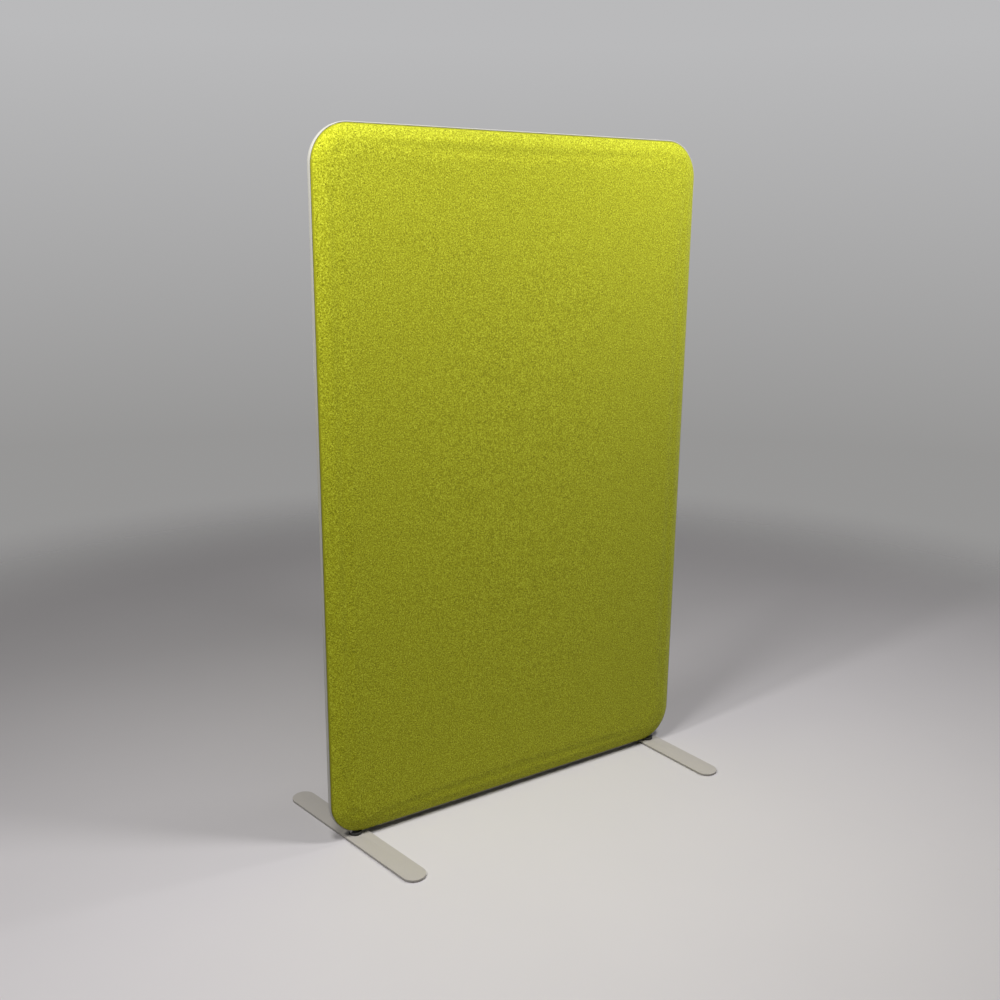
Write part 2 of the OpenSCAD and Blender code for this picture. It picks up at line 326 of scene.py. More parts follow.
FLEECE_DARK = (0.66, 0.66, 0.64, 1)
FLEECE_LIGHT = (0.93, 0.93, 0.91, 1)


def pillow(x, z, inset, rim, face, crown):
    """Depth of a pad's outer skin: a curve up the soft rim, then a face with a slight crown."""
    share = np.clip(inset / rim, 0, 1)
    half_w, half_h = PANEL_WIDTH / 2 - rim, PANEL_HEIGHT / 2 - rim
    across = np.clip(1 - (x / half_w) ** 2, 0, 1) * np.clip(1 - ((z - PANEL_MIDDLE) / half_h) ** 4, 0, 1)
    board = BOARD_THICKNESS / 2
    return board + (face - board) * (1 - (1 - share) ** RIM_POWER) + crown * across


fleece_finish, tree, shader = new_material("wadding", Specular_IOR_Level=0.1, Sheen_Weight=0.5)
fibre = {"Dark": FLEECE_DARK, "Light": FLEECE_LIGHT, "Per Metre": FLEECE_FIBRES_PER_METRE}
fleece = place_group(tree, flecks, fibre)
finish_surface(tree, shader, fleece, FLEECE_RELIEF)

for side, name, node in ((FRONT, "front_fleece", "front_wadding"), (BACK, "back_fleece", "back_wadding")):
    x, z, inset = pad_grid(FLEECE_EDGE, FLEECE_LINES, FLEECE_SPACING)
    outer = pillow(x, z, inset, FLEECE_RIM, FLEECE_FACE, FLEECE_CROWN)
    hills = unevenness(x, z, FLEECE_HILLS, FLEECE_SEED + side) - 1
    outer += FLEECE_UNEVEN * np.clip(inset / FLEECE_UNEVEN_FROM, 0, 1) * hills
    inner = np.where(inset < POCKET_INSET, BOARD_THICKNESS / 2, POCKET_DEPTH)
    points, faces = two_skins(x, z, side, (outer, inner))
    wadding = new_piece(name, points, faces, fleece_finish, "panel", [node], weld=True)

# Fabric covers. One cover of lime melange wool for each face, 1 mm thick, is drawn over the fleece
# and turned in over the board's edge, where staples hold it. A darker band painted along that edge
# stands in for the shade in the groove beside the trim. It is cut away round the two foot blocks.
# Cloth simulation swells it off its staples; it replaces the CAD skin.
COVER_EDGE = 0.0025
COVER_THICKNESS = 0.001
COVER_RIM = 0.033
COVER_FACE = 0.0235
COVER_CROWN = 0.0015
COVER_SPACING = 0.014
COVER_LINES = (0.0, 0.0012, 0.003, 0.0055, 0.0085, 0.012, 0.016, 0.02, 0.0245, 0.0295, 0.035, 0.041, 0.0475,
               0.0545, 0.062, 0.0695, 0.077)
VALLEY_INSET = 0.042
VALLEY_WIDTH = 0.009
VALLEY_DEPTH = 0.0008
COVER_UNEVEN = 0.0004
COVER_HILLS, COVER_RIPPLES, RIPPLE_SHARE = 0.16, 0.07, 0.5
HILL_SEED, RIPPLE_SEED = 11, 15
TURNED_DEPTHS = (0.0046, 0.0016)
STAPLE_PITCH = 0.075
CORNER_STAPLES = (22.5, 45, 67.5)
STAPLE_HOLD = 0.009
HELD_BETWEEN_STAPLES = 0.3
SWELL = 0.0018
SWELL_AT_EDGE = 0.0002
SINK, SLIDE = 0.0002, 0.0004
PRESSURE = 4.0
LAST_FRAME = 20
FOOT_X = 0.4375
BLOCK_IN, BLOCK_OUT, BLOCK_CLEARANCE = 0.055, 0.015, 0.0002
LIME_DARK = (0.150, 0.150, 0.002, 1)
LIME_MID = (0.362, 0.374, 0.008, 1)
LIME_LIGHT = (0.650, 0.682, 0.045, 1)
LIME_HAZE = (0.85, 0.9, 0.35, 1)
YARN_PITCH = 0.0017
YARN_STRAY, STRAYS_PER_METRE = 0.0011, 160.0
YARN_TONE_RUN, YARN_TONE_STEP, WEFT_TONE_SHIFT = 0.42, 3.37, 7.0
YARN_SHADE = 0.72
TUFTS_PER_METRE, TUFT_SHARE = 330.0, 0.5
HAIRS_PER_METRE, HAIR_HEIGHT = 2600.0, 0.6
COVER_RELIEF = 0.0003
# Painted shade: a dark band along each cover's edge beside the trim stands in for the groove's shade.
GROOVE_SHADE_WIDTH = 0.0024
GROOVE_SHADE_COLOUR = (0.24, 0.24, 0.007, 1)


def along_side(half):
    """Places of the staples along a straight side, even about its middle."""
    count = int(2 * half / STAPLE_PITCH)
    return (np.arange(count) - (count - 1) / 2) * STAPLE_PITCH


def staple_places():
    """Where the cover is stapled round the panel, as x and z."""
    half_w, half_h = PANEL_WIDTH / 2 - CORNER, PANEL_HEIGHT / 2 - CORNER
    places = [(x, s * PANEL_HEIGHT / 2) for x in along_side(half_w) for s in (-1, 1)]
    places += [(s * PANEL_WIDTH / 2, z) for z in along_side(half_h) for s in (-1, 1)]
    for sx in (-1, 1):
        for sz in (-1, 1):
            for a in np.radians(CORNER_STAPLES):
                places.append((sx * (half_w + CORNER * math.cos(a)), sz * (half_h + CORNER * math.sin(a))))
    return np.array(places) + (0, PANEL_MIDDLE)


def swell_out(name, points, faces, held, most):
    """Points of a closed form after its skin has swollen under pressure. Each moves outwards by no more
    than its own limit, and very little inwards or along the skin."""
    mesh = bpy.data.meshes.new(name)
    mesh.from_pydata([tuple(p) for p in points], [], faces)
    trial = bpy.data.objects.new(name, mesh)
    bpy.context.scene.collection.objects.link(trial)
    pins = trial.vertex_groups.new(name="held")
    for k, weight in enumerate(held):
        if weight > 0:
            pins.add([k], float(weight), "REPLACE")
    cloth = trial.modifiers.new("Cloth", "CLOTH")
    cloth.settings.quality = 4
    cloth.settings.mass = 0.3
    cloth.settings.tension_stiffness = 40
    cloth.settings.compression_stiffness = 40
    cloth.settings.shear_stiffness = 20
    cloth.settings.bending_stiffness = 2
    cloth.settings.use_pressure = True
    cloth.settings.uniform_pressure_force = PRESSURE
    cloth.settings.vertex_group_mass = "held"
    cloth.settings.effector_weights.gravity = 0
    cloth.collision_settings.use_collision = False
    cloth.collision_settings.use_self_collision = False
    cloth.point_cache.frame_start, cloth.point_cache.frame_end = 1, LAST_FRAME
    for moment in range(1, LAST_FRAME + 1):
        bpy.context.scene.frame_set(moment)
    swollen = trial.evaluated_get(bpy.context.evaluated_depsgraph_get()).to_mesh()
    after = np.array([v.co for v in swollen.vertices])
    bpy.context.scene.frame_set(1)
    normals = np.array([v.normal for v in mesh.vertices])
    bpy.data.objects.remove(trial)
    moved = after - points
    outwards = (moved * normals).sum(1)
    along = moved - outwards[:, None] * normals
    slide = np.maximum(np.linalg.norm(along, axis=1), 1e-9)
    kept = np.where(outwards > 0, most * np.tanh(outwards / most), SINK * np.tanh(outwards / SINK))
    return points + kept[:, None] * normals + along * (SLIDE * np.tanh(slide / SLIDE) / slide)[:, None]


weave, given, made = new_group(
    "melange_weave",
    [
        ("Dark", "colour", (0.1, 0.1, 0.1, 1)),
        ("Middle", "colour", (0.4, 0.4, 0.4, 1)),
        ("Light", "colour", (0.8, 0.8, 0.8, 1)),
        ("Pitch", "number", 0.0016),
    ],
)
place = add(weave, "TexCoord").outputs["Object"]
wander = add(weave, "TexNoise", {"Vector": place, "Scale": STRAYS_PER_METRE, "Detail": 2.0}).outputs["Color"]
wander = add(weave, "VectorMath", {0: wander, 1: (0.5, 0.5, 0.5)}, operation="SUBTRACT").outputs[0]
wander = add(weave, "VectorMath", {0: wander, "Scale": YARN_STRAY}, operation="SCALE").outputs[0]
strayed = add(weave, "VectorMath", {0: place, 1: wander}, operation="ADD").outputs[0]
yarns_per_metre = calc(weave, "DIVIDE", 1.0, given["Pitch"])
yarns = add(weave, "VectorMath", {0: strayed, "Scale": yarns_per_metre}, operation="SCALE").outputs[0]
counted = add(weave, "SeparateXYZ", {0: yarns}).outputs
cells = [calc(weave, "FLOOR", counted[axis]) for axis in ("X", "Z")]
rounds = []
for axis in ("X", "Z"):
    off_centre = calc(weave, "SUBTRACT", calc(weave, "FRACT", counted[axis]), 0.5)
    rounds.append(calc(weave, "COSINE", calc(weave, "MULTIPLY", off_centre, math.pi)))
half_count = calc(weave, "MULTIPLY", calc(weave, "ADD", *cells), 0.5)
weft_over = calc(weave, "MULTIPLY", calc(weave, "FRACT", half_count), 2.0)
warp_over = calc(weave, "SUBTRACT", 1.0, weft_over)
bumps = []
for k in (0, 1):
    bend = calc(weave, "ADD", calc(weave, "MULTIPLY", rounds[1 - k], 0.5), 0.5)
    bumps.append(calc(weave, "MULTIPLY", rounds[k], bend))
height = weigh(weave, bumps[1], weft_over, bumps[0], warp_over)
tones = []
for k, axis in ((0, "Z"), (1, "X")):
    along = calc(weave, "MULTIPLY", counted[axis], YARN_TONE_RUN)
    run = {"X": calc(weave, "MULTIPLY", cells[k], YARN_TONE_STEP), "Y": along, "Z": WEFT_TONE_SHIFT * k}
    tones.append(ramp(weave, speckle(weave, add(weave, "CombineXYZ", run).outputs[0], 1.0, 1.0), 0.3, 0.7))
tone = weigh(weave, tones[1], weft_over, tones[0], warp_over)
tufts = ramp(weave, speckle(weave, place, TUFTS_PER_METRE, 2.0, 0.6), 0.3, 0.7)
blended = weigh(weave, tone, 1 - TUFT_SHARE, tufts, TUFT_SHARE)
colour = tint(weave, ramp(weave, blended, 0.12, 0.5), given["Dark"], given["Middle"])
colour = tint(weave, ramp(weave, blended, 0.5, 0.9), colour, given["Light"])
shade = ramp(weave, height, 0.0, 0.6, YARN_SHADE, 1.0)
shaded = add(weave, "VectorMath", {0: colour, "Scale": shade}, operation="SCALE").outputs[0]
hairs = speckle(weave, place, HAIRS_PER_METRE, 2.0)
relief = calc(weave, "ADD", height, calc(weave, "MULTIPLY", hairs, HAIR_HEIGHT))
close_group(weave, made, shaded, relief, ramp(weave, height, 0.0, 1.0, 0.98, 0.82))

cover_finish, tree, shader = new_material(
    "cover_fabric", Specular_IOR_Level=0.12, Sheen_Weight=0.25, Sheen_Roughness=0.5, Sheen_Tint=LIME_HAZE)
lime = {"Dark": LIME_DARK, "Middle": LIME_MID, "Light": LIME_LIGHT, "Pitch": YARN_PITCH}
look = place_group(tree, weave, lime)
# Painted shade: the cover's colour is mixed toward a dark olive along its edge, for the groove's shade.
painted_groove_shade = add(tree, "Attribute", attribute_name="painted_groove_shade").outputs["Fac"]
finish_surface(tree, shader, look, COVER_RELIEF, tint(tree, painted_groove_shade, look["Color"], GROOVE_SHADE_COLOUR))

stapled = staple_places()
for side, name, node in ((FRONT, "front_wool_cover", "front_cover"), (BACK, "back_wool_cover", "back_cover")):
    x, z, inset = pad_grid(COVER_EDGE, COVER_LINES, COVER_SPACING)
    rising = np.clip(inset / COVER_RIM, 0, 1)
    swelling = SWELL * rising * rising * (3 - 2 * rising)
    depth = pillow(x, z, inset, COVER_RIM, COVER_FACE, COVER_CROWN) - swelling
    depth -= VALLEY_DEPTH * np.exp(-(((inset - VALLEY_INSET) / VALLEY_WIDTH) ** 2))
    hills = unevenness(x, z, COVER_HILLS, HILL_SEED + side)
    ripples = unevenness(x, z, COVER_RIPPLES, RIPPLE_SEED + side)
    depth += COVER_UNEVEN * rising * (hills + RIPPLE_SHARE * ripples)
    skin = np.stack([x, side * depth, z], -1).reshape(-1, 3)
    edge = grid_edge(*x.shape)
    points, rows = [skin], [edge]
    for turned in TURNED_DEPTHS:
        rows.append([len(skin) + (len(rows) - 1) * len(edge) + k for k in range(len(edge))])
        points.append(skin[edge] * (1, 0, 1) + (0, side * turned, 0))
    turned_faces = [f for a, b in zip(rows, rows[1:]) for f in band(a, b)]
    centre = len(skin) + len(edge) * len(TURNED_DEPTHS)
    points = np.concatenate([*points, [(0, side * TURNED_DEPTHS[-1], PANEL_MIDDLE)]])
    closing = [(rows[-1][(k + 1) % len(edge)], rows[-1][k], centre) for k in range(len(edge))]
    faces = grid_faces(*x.shape) + turned_faces
    held = np.zeros(len(points))
    held[rows[-1]] = held[centre] = 1
    to_staple = np.linalg.norm(skin[edge][:, None, (0, 2)] - stapled[None], axis=2).min(1)
    held[rows[1]] = np.where(to_staple < STAPLE_HOLD, 1, HELD_BETWEEN_STAPLES)
    most = np.full(len(points), SWELL_AT_EDGE)
    most[: len(skin)] += swelling.ravel()
    bm = bmesh.new()
    shape = bpy.data.meshes.new("closed")
    shape.from_pydata([tuple(p) for p in points], [], faces + closing)
    bm.from_mesh(shape)
    bmesh.ops.recalc_face_normals(bm, faces=bm.faces)
    outward = [tuple(v.index for v in f.verts) for f in bm.faces]
    bm.free()
    points = swell_out(name + "_trial", points, outward, held, most)
    from_block = abs(abs(points[:, 0]) - (FOOT_X + (BLOCK_OUT - BLOCK_IN) / 2))
    near_block = (from_block < (BLOCK_IN + BLOCK_OUT) / 2 + BLOCK_CLEARANCE) & (points[:, 2] < PANEL_MIDDLE)
    kept = grid_faces(*x.shape) + [f for f in turned_faces if not any(near_block[k] for k in f)]
    cover = new_piece(name, points[:-1], kept, cover_finish, "panel", [node], sharp=60)
    from_edge = np.concatenate([inset.ravel(), np.zeros(len(points) - 1 - inset.size)])
    # Painted shade: full in the outer half of the band, fading to nothing at its inner side.
    groove_shade_share = np.clip((GROOVE_SHADE_WIDTH - from_edge) / GROOVE_SHADE_WIDTH * 2, 0, 1)
    cover.data.attributes.new("painted_groove_shade", "FLOAT", "POINT").data.foreach_set("value", groove_shade_share.astype(np.float32))
    bm = bmesh.new()
    bm.from_mesh(cover.data)
    bmesh.ops.delete(bm, geom=[v for v in bm.verts if not v.link_faces], context="VERTS")
    outward = max(bm.faces, key=lambda f: abs(f.calc_center_median().y))
    if outward.normal.y * side < 0:
        bmesh.ops.reverse_faces(bm, faces=bm.faces)
    bm.to_mesh(cover.data)
    bm.free()
    thickness = cover.modifiers.new("thickness", "SOLIDIFY")
    thickness.thickness, thickness.offset, thickness.use_even_offset = COVER_THICKNESS, -1, False

# Staples. Galvanised wire staples, 10 mm wide, pin each cover's turned-in edge to the board's edge.
# They are the CAD solids, and the trim hides them.
GALVANISED_DARK = (0.30, 0.30, 0.31, 1)
GALVANISED_LIGHT = (0.62, 0.62, 0.61, 1)
WIRE_RELIEF = 0.00003
METAL_CLOUD_SCALE, METAL_CLOUD_SHARE = 0.15, 0.5

metal, given, made = new_group(
    "worked_metal",
    [
        ("Dark", "colour", (0.2, 0.2, 0.2, 1)),
        ("Light", "colour", (0.7, 0.7, 0.7, 1)),
        ("Per Metre", "number", 400.0),
        ("Stretch", "vector", (1, 1, 1)),
        ("Smooth", "number", 0.25),
        ("Rough", "number", 0.5),
    ],
)
stretched = stretched_place(metal, given)
scratches = speckle(metal, stretched, given["Per Metre"], 3.0, 0.6)
clouds = speckle(metal, stretched, calc(metal, "MULTIPLY", given["Per Metre"], METAL_CLOUD_SCALE), 2.0)
mottle = ramp(metal, weigh(metal, scratches, 1 - METAL_CLOUD_SHARE, clouds, METAL_CLOUD_SHARE), 0.35, 0.65)
polish = add(metal, "Mix", {0: mottle, 2: given["Rough"], 3: given["Smooth"]}).outputs[0]
close_group(metal, made, tint(metal, mottle, given["Dark"], given["Light"]), scratches, polish)


def metal_finish(name, dark, light, per_metre, stretch, smooth, rough, depth):
    """A bare or plated metal with mottled gloss."""
    material, tree, shader = new_material(name, Metallic=1.0)
    grain = {"Per Metre": per_metre, "Stretch": stretch, "Smooth": smooth, "Rough": rough}
    look = place_group(tree, metal, {"Dark": dark, "Light": light, **grain})
    finish_surface(tree, shader, look, depth)
    return material


wire_finish = metal_finish("staple_wire", GALVANISED_DARK, GALVANISED_LIGHT, 900.0, (1, 1, 1), 0.3, 0.55,
                           WIRE_RELIEF)
dress_node("front_staples", wire_finish)
dress_node("back_staples", wire_finish)

# Edge trim. A T-shaped moulding, powder coated pale grey, is pressed into the board's groove all
# round. Its barbed stem grips the groove, and its head stands 2.5 mm proud of the covers.
# A short straight length closes the lower edge between the foot blocks. Both replace plain CAD trims.
TRIM_WIDTH = 0.010
TRIM_THICKNESS = 0.002
TRIM_ROUNDING = 0.0006
TRIM_LIP = 0.0003
STEM_THICKNESS = 0.002
STEM_LENGTH = 0.008
BARBS = 3
BARB_DEPTH = 0.0003
BARB_SHAPE = ((0.2, 1), (0.35, 0), (0.98, 1))
STEM_TAPER = 0.00045
CORNER_STEPS = 24
STRAIGHT_ROWS = 9
TRIM_COLOUR = (0.37, 0.36, 0.32, 1)
TRIM_WORN = (0.46, 0.45, 0.41, 1)
TRIM_RELIEF = 0.00003
DUST = (0.35, 0.33, 0.30, 1)
SMUDGES_PER_METRE, DUST_SHARE = 14.0, 0.10
RUBS_PER_METRE = 60.0
PIMPLE_SHARE = 0.12


def trim_profile():
    """Closed profile of the moulding, as distances inwards from the outside and depths across."""
    half, stem, r = TRIM_WIDTH / 2, STEM_THICKNESS / 2, TRIM_ROUNDING
    turns = (math.pi / 2, math.pi / 3, math.pi / 6, 0)
    side = [(r * (1 - math.sin(a)), half - r * (1 - math.cos(a))) for a in turns]
    side += [(TRIM_THICKNESS - TRIM_LIP, half), (TRIM_THICKNESS, half - TRIM_LIP), (TRIM_THICKNESS, stem)]
    step = STEM_LENGTH / BARBS
    for k in range(BARBS):
        start = TRIM_THICKNESS + k * step
        side += [(start + step * share, stem - BARB_DEPTH * cut) for share, cut in BARB_SHAPE]
    side.append((TRIM_THICKNESS + STEM_LENGTH, stem - STEM_TAPER))
    return side + [(q, -y) for q, y in reversed(side)]


def sweep(rows):
    """Faces along rows of points that follow one closed profile, with both ends closed."""
    n = len(rows[0])
    faces = [(j * n + k, j * n + (k + 1) % n, (j + 1) * n + (k + 1) % n, (j + 1) * n + k)
             for j in range(len(rows) - 1) for k in range(n)]
    return faces + [tuple(range(n)), tuple(range((len(rows) - 1) * n, len(rows) * n))]


def straight_row(profile, x):
    """One row of profile points at a place on the lower edge."""
    return [(x, y, GROUND_GAP + q) for q, y in profile]


def corner_row(profile, corner, start, stop, share):
    """One row of profile points a share of the way round a corner. Each end is an angle, or a function
    that gives one at each distance inwards."""
    row = []
    for q, y in profile:
        first, last = (end(q) if callable(end) else end for end in (start, stop))
        turn = first + (last - first) * share
        row.append((corner[0] * (PANEL_WIDTH / 2 - CORNER + (CORNER - q) * math.cos(turn)), y,
                    PANEL_MIDDLE + corner[1] * (PANEL_HEIGHT / 2 - CORNER + (CORNER - q) * math.sin(turn))))
    return row


coat, given, made = new_group(
    "powder_coat",
    [
        ("Color", "colour", (0.7, 0.7, 0.7, 1)),
        ("Paler", "colour", (0.8, 0.8, 0.8, 1)),
        ("Per Metre", "number", 1200.0),
        ("Edge_Wear_And_Highlight", "number", 0.5),
        ("Roughness", "number", 0.45),
    ],
)
place = add(coat, "TexCoord").outputs["Object"]
pimples = speckle(coat, place, given["Per Metre"], 2.0)
smudges = speckle(coat, place, SMUDGES_PER_METRE, 3.0)
# Faces marked by the edge attribute are painted paler in patches: partly rubbed wear, partly a painted
# highlight.
on_edge = add(coat, "Attribute", attribute_name="edge").outputs["Fac"]
worn_and_lit = calc(coat, "MULTIPLY", on_edge, ramp(coat, speckle(coat, place, RUBS_PER_METRE, 3.0), 0.3, 0.7))
dusted = tint(coat, ramp(coat, smudges, 0.35, 0.7, 0.0, DUST_SHARE), given["Color"], DUST)
grained = tint(coat, ramp(coat, pimples, 0.4, 0.65, 0.0, PIMPLE_SHARE), dusted, given["Paler"])
coated = tint(coat, calc(coat, "MULTIPLY", worn_and_lit, given["Edge_Wear_And_Highlight"]), grained, given["Paler"])
dull = calc(coat, "ADD", given["Roughness"], ramp(coat, smudges, 0.3, 0.7, -0.05, 0.10))
close_group(coat, made, coated, pimples, dull)

trim_finish, tree, shader = new_material("trim_lacquer", Specular_IOR_Level=0.5)
look = place_group(tree, coat, {"Color": TRIM_COLOUR, "Paler": TRIM_WORN, "Roughness": 0.42})
finish_surface(tree, shader, look, TRIM_RELIEF)

profile = trim_profile()
inner_end = FOOT_X - BLOCK_IN - BLOCK_CLEARANCE
outer_reach = FOOT_X + BLOCK_OUT + BLOCK_CLEARANCE - (PANEL_WIDTH / 2 - CORNER)


def block_end(q):
    """Angle round a lower corner at which the trim meets the block's upright side."""
    return math.acos(outer_reach / (CORNER - q))


quarter = math.pi / 2
bends = (((-1, -1), block_end, 0.0), ((-1, 1), 0.0, quarter), ((1, 1), quarter, 0.0), ((1, -1), 0.0, block_end))
rows = [corner_row(profile, *bend, step / CORNER_STEPS) for bend in bends for step in range(CORNER_STEPS + 1)]
points = [p for row in rows for p in row]
new_piece("edge_moulding", points, sweep(rows), trim_finish, "panel", ["edge_trim"], sharp=35)

rows = [straight_row(profile, x) for x in np.linspace(-inner_end, inner_end, STRAIGHT_ROWS)]
points = [p for row in rows for p in row]
new_piece("bottom_moulding", points, sweep(rows), trim_finish, "panel", ["bottom_trim"], sharp=35)

# Foot blocks. A milled steel block sits in each notch of the board's lower edge. It is tapped for the
# foot screw and drilled for two countersunk wood screws. The blocks are the CAD solids with their
# edges broken, in plain oiled steel.
STEEL_DARK = (0.16, 0.16, 0.165, 1)
STEEL_LIGHT = (0.36, 0.36, 0.37, 1)
STEEL_RELIEF = 0.00003
MILLED_ALONG_X = (0.15, 1, 1)
BROKEN_EDGE = 0.0004


def broken_copy(node, name, material, body, width, segments=2, sharp=35):
    """A copy of a CAD node with whole flat faces, whose outer edges are rounded off. It stands for the node."""
    bm = bmesh.new()
    bm.from_mesh(nodes[node].data)
    bmesh.ops.remove_doubles(bm, verts=bm.verts, dist=SAME_PLACE)
    bmesh.ops.dissolve_limit(bm, angle_limit=math.radians(1), verts=bm.verts, edges=bm.edges)
    corners = [e for e in bm.edges if e.is_manifold and e.calc_face_angle_signed(0) > math.radians(sharp)]
    # Marks the rounded faces for the paler edge colour: partly wear, partly a painted highlight.
    worn_and_lit = bm.faces.layers.float.new("edge")
    cut = bmesh.ops.bevel(bm, geom=corners, offset=width, offset_type="OFFSET", segments=segments, profile=0.5,
                          affect="EDGES", clamp_overlap=True)
    for face in cut["faces"]:
        face[worn_and_lit] = 1
    mesh = bpy.data.meshes.new(name)
    bm.to_mesh(mesh)
    bm.free()
    return finish_piece(name, mesh, material, body, [node], sharp)


block_finish = metal_finish("block_steel", STEEL_DARK, STEEL_LIGHT, 260.0, MILLED_ALONG_X, 0.28, 0.48,
                            STEEL_RELIEF)
broken_copy("left_foot_block", "left_steel_block", block_finish, "panel", BROKEN_EDGE)
broken_copy("right_foot_block", "right_steel_block", block_finish, "panel", BROKEN_EDGE)

# Block screws. Two zinc-plated wood screws hold each block up into the board's edge. They have
# countersunk heads with a lobed recess, coarse threads and a point, and replace plain CAD shanks.
SEAT_Z = 0.01303
SEAT_GAP = 0.0002
WOOD_SCREW_PITCH = 0.022
WOOD_SCREW_LENGTH = 0.0698
WOOD_SCREW_RADIUS, WOOD_ROOT_RADIUS = 0.0025, 0.0017
WOOD_HEAD_RADIUS = 0.00475
WOOD_THREAD = 0.0028
WOOD_THREAD_FROM = 0.028
WOOD_POINT = 0.006
HEAD_LIP = 0.0002
RECESS_TAPER = 0.8
SHANK_STEP = 0.004
RINGS_PER_TURN = 6
LOBE_RADIUS, LOBE_SWING, LOBE_DEPTH = 0.0014, 0.0003, 0.0018
SCREW_SEGMENTS = 24
ZINC_DARK = (0.38, 0.37, 0.33, 1)
ZINC_LIGHT = (0.70, 0.69, 0.64, 1)
ZINC_RELIEF = 0.00002


def lobes(angles):
    """Radius at each angle of a recess with six lobes."""
    return LOBE_RADIUS + LOBE_SWING * np.cos(6 * angles)


def screw_rings(recess, recess_depth, head, shank, length, root, pitch, thread_from, point):
    """Rings of a countersunk screw, head first: a height and the radius at each angle."""
    angles = np.arange(SCREW_SEGMENTS) * 2 * math.pi / SCREW_SEGMENTS
    full = np.ones(SCREW_SEGMENTS)
    cone = head - shank
    rings = [(recess_depth, recess(angles) * RECESS_TAPER), (recess_depth - HEAD_LIP, recess(angles)),
             (0.0, recess(angles)), (0.0, full * (head - HEAD_LIP)), (HEAD_LIP, full * head),
             (HEAD_LIP + cone, full * shank)]
    smooth_steps = max(2, int((thread_from - cone) / SHANK_STEP))
    rings += [(h, full * shank) for h in np.linspace(cone + HEAD_LIP, thread_from, smooth_steps)[1:]]
    for h in np.arange(thread_from, length - SAME_PLACE, pitch / RINGS_PER_TURN):
        wave = np.abs(((h / pitch - angles / (2 * math.pi)) % 1) * 2 - 1)
        fade = min(1.0, (h - thread_from) / pitch) * min(1.0, (length - h) / pitch)
        taper = min(1.0, (length - h) / point) ** 0.6 if point else 1.0
        thread = root + (shank - root) * np.clip(1.6 * wave - 0.3, 0, 1)
        plain = shank if h < thread_from + pitch else root
        rings.append((h, (thread * fade + plain * (1 - fade)) * taper))
    rings.append((length, full * root * (0.15 if point else 0.85)))
    return rings


def screw_mesh(rings, foot):
    """Points and faces of a screw whose head's face lies at the point foot, with its shank upwards."""
    angles = np.arange(SCREW_SEGMENTS) * 2 * math.pi / SCREW_SEGMENTS
    rows = [[(foot[0] + r * math.cos(a), foot[1] + r * math.sin(a), foot[2] + h) for a, r in zip(angles, radii)]
            for h, radii in rings]
    return [p for row in rows for p in row], sweep(rows)


zinc_finish = metal_finish("zinc_screw", ZINC_DARK, ZINC_LIGHT, 500.0, (1, 1, 1), 0.25, 0.42, ZINC_RELIEF)
wood_rings = screw_rings(lobes, LOBE_DEPTH, WOOD_HEAD_RADIUS, WOOD_SCREW_RADIUS, WOOD_SCREW_LENGTH,
                         WOOD_ROOT_RADIUS, WOOD_THREAD, WOOD_THREAD_FROM, WOOD_POINT)
points, faces = [], []
for side in (-1, 1):
    for count in (1, 2):
        where = (side * (FOOT_X - count * WOOD_SCREW_PITCH), 0, SEAT_Z + SEAT_GAP)
        some, joined = screw_mesh(wood_rings, where)
        faces += [tuple(k + len(points) for k in f) for f in joined]
        points += some
new_piece("wood_screws", points, faces, zinc_finish, "panel", ["block_screws"], sharp=30)

# Spacers. A black moulded disc between each block and its foot keeps the foot clear of the panel
# and lets it turn. The foot screw clamps it.
SPACER_EDGE = 0.0008
PLASTIC_DARK = (0.010, 0.010, 0.010, 1)
PLASTIC_LIGHT = (0.030, 0.029, 0.028, 1)
PLASTIC_RELIEF = 0.00004

plastic_finish, tree, shader = new_material("spacer_plastic", Specular_IOR_Level=0.45)
plastic = {"Color": PLASTIC_DARK, "Paler": PLASTIC_LIGHT, "Per Metre": 1800.0, "Roughness": 0.5}
finish_surface(tree, shader, place_group(tree, coat, plastic), PLASTIC_RELIEF)
broken_copy("left_spacer", "left_spacer_disc", plastic_finish, "panel", SPACER_EDGE, 3)
broken_copy("right_spacer", "right_spacer_disc", plastic_finish, "panel", SPACER_EDGE, 3)

# Foot screws. A zinc-plated machine screw with a hexagon socket comes up through each foot and its
# spacer into the block. Its countersunk head lies flush under the foot.
FOOT_SCREW_Z = 0.0017
FOOT_SCREW_LENGTH = 0.0348
FOOT_SCREW_RADIUS, FOOT_ROOT_RADIUS = 0.004, 0.0034
FOOT_HEAD_RADIUS = 0.00775
FOOT_THREAD = 0.00125
FOOT_THREAD_FROM = 0.009
SOCKET_WIDTH, SOCKET_DEPTH = 0.005, 0.0024


def hexagon(angles):
    """Radius at each angle of a hexagon socket of the given width across its flats."""
    return SOCKET_WIDTH / 2 / np.cos((angles + math.pi / 6) % (math.pi / 3) - math.pi / 6)


foot_rings = screw_rings(hexagon, SOCKET_DEPTH, FOOT_HEAD_RADIUS, FOOT_SCREW_RADIUS, FOOT_SCREW_LENGTH,
                         FOOT_ROOT_RADIUS, FOOT_THREAD, FOOT_THREAD_FROM, 0)
for side, label in ((-1, "left"), (1, "right")):
    points, faces = screw_mesh(foot_rings, (side * FOOT_X, 0, FOOT_SCREW_Z))
    new_piece(label + "_machine_screw", points, faces, zinc_finish, "panel",
              [label + "_foot_screw"], sharp=30)

# Feet. Each is a 5 mm flat steel bar with round ends, powder coated warm light grey, which turns about
# its screw. Its upright sides are painted darker as painted shade, and the rounded rim above them is
# painted paler, partly as rubbed wear and partly as a painted highlight.
FOOT_EDGE = 0.0007
FOOT_COLOUR = (0.442, 0.412, 0.377, 1)
FOOT_WORN_AND_HIGHLIGHT = (0.60, 0.575, 0.52, 1)
FOOT_SIDE_SHADE = (0.34, 0.32, 0.29, 1)
FOOT_RELIEF = 0.00004

